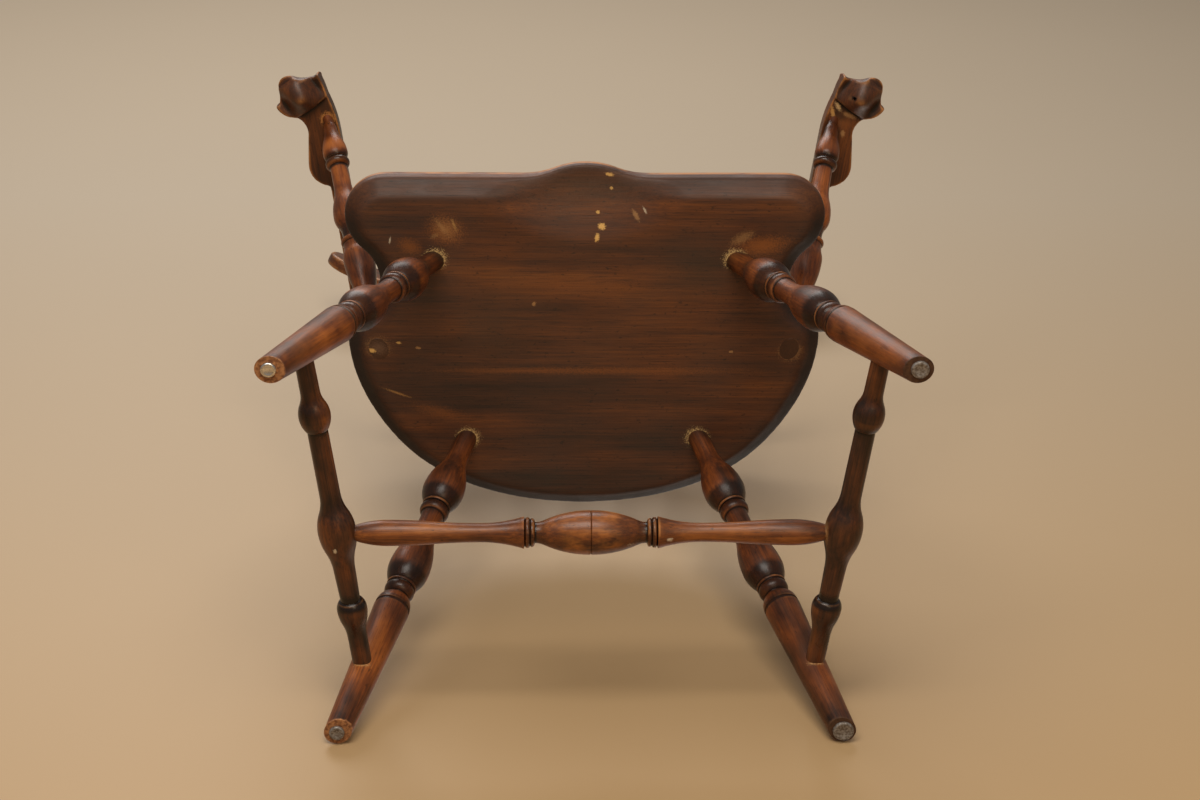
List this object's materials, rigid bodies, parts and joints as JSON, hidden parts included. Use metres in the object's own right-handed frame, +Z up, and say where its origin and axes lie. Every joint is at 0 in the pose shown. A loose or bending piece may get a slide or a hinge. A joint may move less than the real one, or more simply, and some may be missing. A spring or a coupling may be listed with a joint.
{
  "type": "comb back windsor chair",
  "caption": "Comb back Windsor armchair with a saddled plank seat, raked turned legs, an H stretcher, a bent arm bow with carved knuckle hands and a tall spindle back.",
  "frame": {"origin": "on the floor under the middle of the chair's bounding box", "axes": "+Z up from the floor, -Y to the front of the seat, +X to the sitter's left hand, which is the right of a person facing the chair"},
  "size_m": [0.6866, 0.5016, 1.1299],
  "materials": {
    "seat_wood": "reddish brown stain under a worn satin varnish",
    "leg_wood": "reddish brown stain under a worn satin varnish",
    "stretcher_wood": "reddish brown stain under a worn satin varnish",
    "post_wood": "reddish brown stain under a worn satin varnish",
    "arm_wood": "reddish brown stain under a worn satin varnish",
    "knuckle_wood": "reddish brown stain under a worn satin varnish",
    "spindle_wood": "reddish brown stain under a worn satin varnish",
    "comb_wood": "reddish brown stain under a worn satin varnish",
    "wedge_wood": "reddish brown stain under a worn satin varnish",
    "glide_metal": "dull plated steel",
    "brad_metal": "dull plated steel"
  },
  "bodies": {
    "root": {"seat": "seat_wood", "leg_front_left": "leg_wood", "leg_front_right": "leg_wood", "leg_rear_left": "leg_wood", "leg_rear_right": "leg_wood", "side_stretcher_left": "stretcher_wood", "side_stretcher_right": "stretcher_wood", "centre_stretcher": "stretcher_wood", "arm_post_left": "post_wood", "arm_post_right": "post_wood", "arm_bow": "arm_wood", "hand_block_left": "arm_wood", "hand_block_right": "arm_wood", "knuckle_left": "knuckle_wood", "knuckle_right": "knuckle_wood", "back_spindle_1": "spindle_wood", "back_spindle_2": "spindle_wood", "back_spindle_3": "spindle_wood", "back_spindle_4": "spindle_wood", "back_spindle_5": "spindle_wood", "back_spindle_6": "spindle_wood", "back_spindle_7": "spindle_wood", "arm_spindle_left_1": "spindle_wood", "arm_spindle_left_2": "spindle_wood", "arm_spindle_right_1": "spindle_wood", "arm_spindle_right_2": "spindle_wood", "comb": "comb_wood", "leg_wedges": "wedge_wood", "arm_post_wedges": "wedge_wood", "comb_pins": "wedge_wood", "foot_glides": "glide_metal", "knuckle_brads": "brad_metal"}
  },
  "joints": []
}
